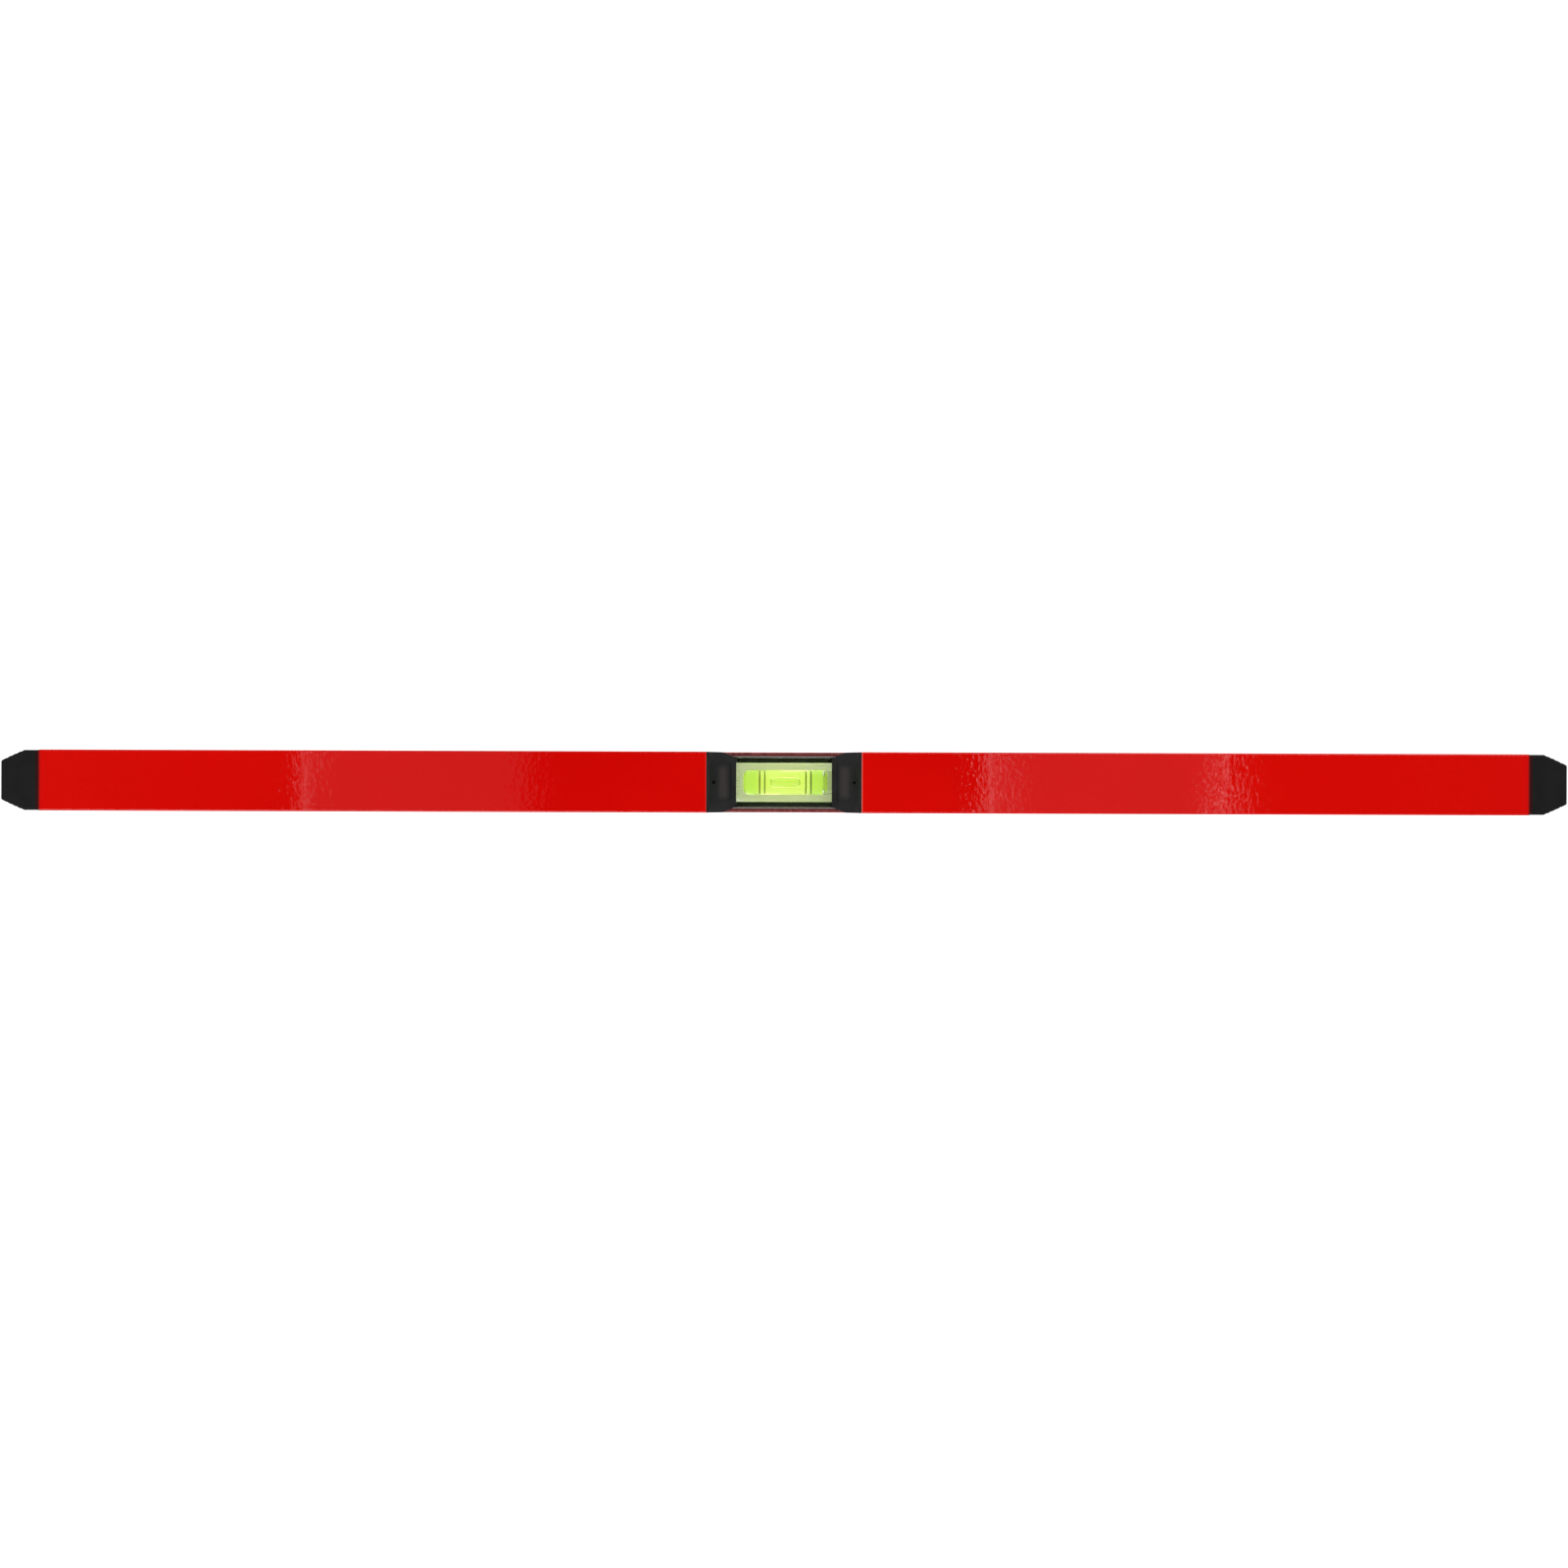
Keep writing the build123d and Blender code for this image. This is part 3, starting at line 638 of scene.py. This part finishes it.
def build_block(prefix, matrix, half, looks):
    """The acrylic block, with the wetted look on the bore's wall."""
    block = block_mesh(f"{prefix}_acrylic_block", half)
    faces = block.data.polygons
    in_bore = [math.hypot(face.center.y, face.center.z) < BORE_R + WALL_LAP for face in faces]
    on_axis = [abs(face.normal.x) > ON_AXIS_NORMAL for face in faces]
    place(block, matrix, "level", looks["acrylic"], "clear_acrylic", f"{prefix}_vial_block")
    block.data.materials.append(looks["bore"])
    for face, inside, flat in zip(block.data.polygons, in_bore, on_axis):
        face.material_index = int(inside and not flat)


def build_liquid(prefix, matrix, half, looks):
    """The liquid, which fills the bore and the plug's cup."""
    reach = half + 2 * WALL_LAP
    outline = bore_outline(reach, BORE_R + WALL_LAP, PLUG_ROUND) + plug_cup(reach, BORE_R)[1:]
    liquid = new_object(f"{prefix}_spirit", turned(f"{prefix}_spirit", outline))
    smooth(liquid.data)
    place(liquid, matrix, "level", looks["liquid"], "vial_liquid", f"{prefix}_vial_liquid")


def build_plug(prefix, matrix, half, looks):
    """The filling plug, hollowed like a cup where it meets the liquid."""
    low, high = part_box(f"{prefix}_vial_plug")
    end = half + max(high - low)
    cup = plug_cup(half, BORE_R + WALL_LAP)
    rim = cup[0]
    outline = cup[::-1] + [
        (half + WALL_LAP, rim[1]),
        (half + WALL_LAP, PLUG_R),
        (end - BLOCK_EDGE, PLUG_R),
        (end, PLUG_R - BLOCK_EDGE),
        (end, 0.0),
    ]
    plug = new_object(f"{prefix}_cup_plug", turned(f"{prefix}_cup_plug", outline))
    smooth(plug.data)
    place(plug, matrix, "level", looks["plug"], "pale_plug", f"{prefix}_vial_plug")


def build_rings(prefix, matrix, looks):
    """The four painted rings in their grooves, as one piece."""
    rings = bmesh.new()
    inner, outer = RING_R
    for x in RING_OFFSETS:
        low, high = x - RING_WIDTH / 2, x + RING_WIDTH / 2
        corners = [
            (low, inner),
            (low, outer - RING_CORNER),
            (low + RING_CORNER, outer),
            (high - RING_CORNER, outer),
            (high, outer - RING_CORNER),
            (high, inner),
            (low, inner),
        ]
        ring = turned(f"{prefix}_ring", corners)
        rings.from_mesh(ring)
        bpy.data.meshes.remove(ring)
    bmesh.ops.remove_doubles(rings, verts=rings.verts, dist=1e-7)
    bmesh.ops.recalc_face_normals(rings, faces=rings.faces)
    mesh = mesh_of(f"{prefix}_rings", rings)
    smooth(mesh)
    place(new_object(mesh.name, mesh), matrix, "level", looks["ring"], "line_black", f"{prefix}_vial_lines")


def build_bubble(prefix, axis_z, looks):
    """The bubble: long under the crown of the centre vial, round at the top of a plumb vial."""
    low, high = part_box(f"{prefix}_vial_bubble")
    name = f"{prefix}_bubble_air"
    if prefix == "centre":
        mesh = bubble_mesh(name, high.x - low.x, high.y - low.y, high.z - axis_z, BUBBLE_BELLY)
        bubble_place = Matrix.Translation(((low.x + high.x) / 2, 0.0, axis_z))
    else:
        mesh = round_bubble_mesh(name, (high.x - low.x) / 2, (high.z - low.z) / 2)
        bubble_place = Matrix.Translation((low + high) / 2) @ Matrix.Rotation(math.radians(90), 4, "Y")
    bubble = new_object(name, mesh)
    place(bubble, bubble_place, f"{prefix}_bubble", looks["air"], "vial_air", f"{prefix}_vial_bubble")


def build_vial(prefix, looks):
    """One vial's block, liquid, plug, rings and bubble."""
    matrix, half = vial_frame(prefix)
    build_block(prefix, matrix, half, looks)
    build_liquid(prefix, matrix, half, looks)
    build_plug(prefix, matrix, half, looks)
    build_rings(prefix, matrix, looks)
    build_bubble(prefix, matrix.translation.z, looks)


def build_pane(side, looks):
    """A clear side pane with softened edges and a sawn upper edge."""
    low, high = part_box(f"centre_{side}_pane")
    mesh = bevelled_box(f"{side}_acrylic_pane", (low + high) / 2, high - low, PANE_EDGE, 2)
    smooth(mesh)
    pane = new_object(mesh.name, mesh)
    place(pane, Matrix(), "level", looks["pane"], "clear_acrylic", f"centre_{side}_pane")
    mesh.materials.append(looks["edge"])
    for face in mesh.polygons:
        face.material_index = int(face.center.z > high.z - PANE_EDGE)


def wear(node, material):
    """Gives a CAD node its material."""
    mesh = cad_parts[node].data
    mesh.materials.clear()
    mesh.materials.append(material)


# Studio


def build_world():
    """A pale sky that darkens straight overhead, as over a camera on a copy stand."""
    world = bpy.data.worlds.new("studio_sky")
    bpy.context.scene.world = world
    world.use_nodes = True
    tree = world.node_tree
    coords = tree.nodes.new("ShaderNodeTexCoord")
    parts = tree.nodes.new("ShaderNodeSeparateXYZ")
    tree.links.new(coords.outputs["Generated"], parts.inputs[0])
    cap = tree.nodes.new("ShaderNodeMapRange")
    cap.interpolation_type = "SMOOTHSTEP"
    tree.links.new(parts.outputs["Z"], cap.inputs["Value"])
    limits = {"From Min": SKY_CAP[0], "From Max": SKY_CAP[1], "To Min": SKY_BRIGHT, "To Max": SKY_DARK}
    for key, number in limits.items():
        cap.inputs[key].default_value = number
    tree.links.new(cap.outputs["Result"], tree.nodes["Background"].inputs["Strength"])
    tree.nodes["Background"].inputs["Color"].default_value = (*WHITE, 1.0)


def add_softbox(name, where, size, power):
    """A square softbox that faces the middle of the level."""
    data = bpy.data.lights.new(name, "AREA")
    data.shape, data.size, data.energy = "SQUARE", size, power
    lamp = new_object(name, data)
    lamp.location = where
    lamp.rotation_mode = "QUATERNION"
    lamp.rotation_quaternion = (Vector(SOFTBOX_AIM) - Vector(where)).to_track_quat("-Z", "Y")


def add_strip(name, x_range, radiance):
    """A faint strip overhead that the gloss coat mirrors to the camera between two X values of the upper face."""
    data = bpy.data.lights.new(name, "AREA")
    data.shape = "RECTANGLE"
    reach = [x * (1 + STRIP_RISE / CAMERA_RISE) for x in x_range]
    data.size, data.size_y = reach[1] - reach[0], STRIP_WIDTH
    data.energy = radiance * math.pi * data.size * data.size_y
    lamp = new_object(name, data)
    lamp.location = (sum(reach) / 2, 0.0, CAD_BOUNDS[1].z + STRIP_RISE)


def build_floor():
    """A wide flat floor under the level."""
    mesh = bpy.data.meshes.new("floor")
    half = FLOOR_SIZE / 2
    corners = ((-half, -half), (half, -half), (half, half), (-half, half))
    mesh.from_pydata([(x, y, -FLOOR_DROP) for x, y in corners], [], [(0, 1, 2, 3)])
    floor = new_object("floor", mesh)
    mesh.materials.append(floor_paper())


def build_camera():
    """The camera, looking straight down at the upper face."""
    data = bpy.data.cameras.new("camera")
    data.lens, data.sensor_width = CAMERA_LENS, CAMERA_SENSOR
    camera = new_object("camera", data)
    camera.location = (0.0, CAMERA_SHIFT_Y, CAD_BOUNDS[1].z + CAMERA_RISE)
    camera.rotation_euler = (0.0, 0.0, CAMERA_ROLL)
    bpy.context.scene.camera = camera


def dress_cad_nodes():
    """Gives their materials to the nodes that keep their CAD meshes."""
    cap_black = tuple(CAP_DARKENING * c for c in PLASTIC_BLACK)
    cap_plastic = black_plastic("cap_rubbery_black", cap_black, grain=1.0, rough=0.50, gloss=0.12)
    holder_plastic = black_plastic("holder_satin_black", PLASTIC_BLACK, grain=0.6, rough=0.42, gloss=0.2)
    notch_plastic = black_plastic("notch_satin_black", PLASTIC_BLACK, grain=0.6, rough=0.42, gloss=0.18, in_notch=True)
    wear("profile", red_coat())
    for node in ("left_end_cap", "right_end_cap"):
        wear(node, cap_plastic)
    wear("centre_vial_holder", notch_plastic)
    for prefix in PLUMBS:
        for half in ("front", "back"):
            wear(f"{prefix}_frame_{half}", holder_plastic)
    wear("centre_vial_backing", backing_plate())


def build():
    """The whole scene."""
    dress_cad_nodes()
    looks = {
        "acrylic": clear_acrylic("block_acrylic", BLOCK_TINT),
        "liquid": vial_liquid(),
        "ring": ring_paint(),
        "air": bubble_air(),
        "plug": pale_plug(),
        "bore": clear_acrylic("bore_acrylic", BLOCK_TINT, wetted=True),
        "pane": clear_acrylic("pane_acrylic", PANE_TINT),
        "edge": sawn_edge(),
    }
    for side in ("front", "back"):
        build_pane(side, looks)
    for prefix in VIALS:
        build_vial(prefix, looks)
    build_world()
    for box in SOFTBOXES:
        add_softbox(*box)
    for strip in STRIPS:
        add_strip(*strip)
    build_floor()
    build_camera()
    bpy.context.scene.view_settings.view_transform = "Standard"


build()
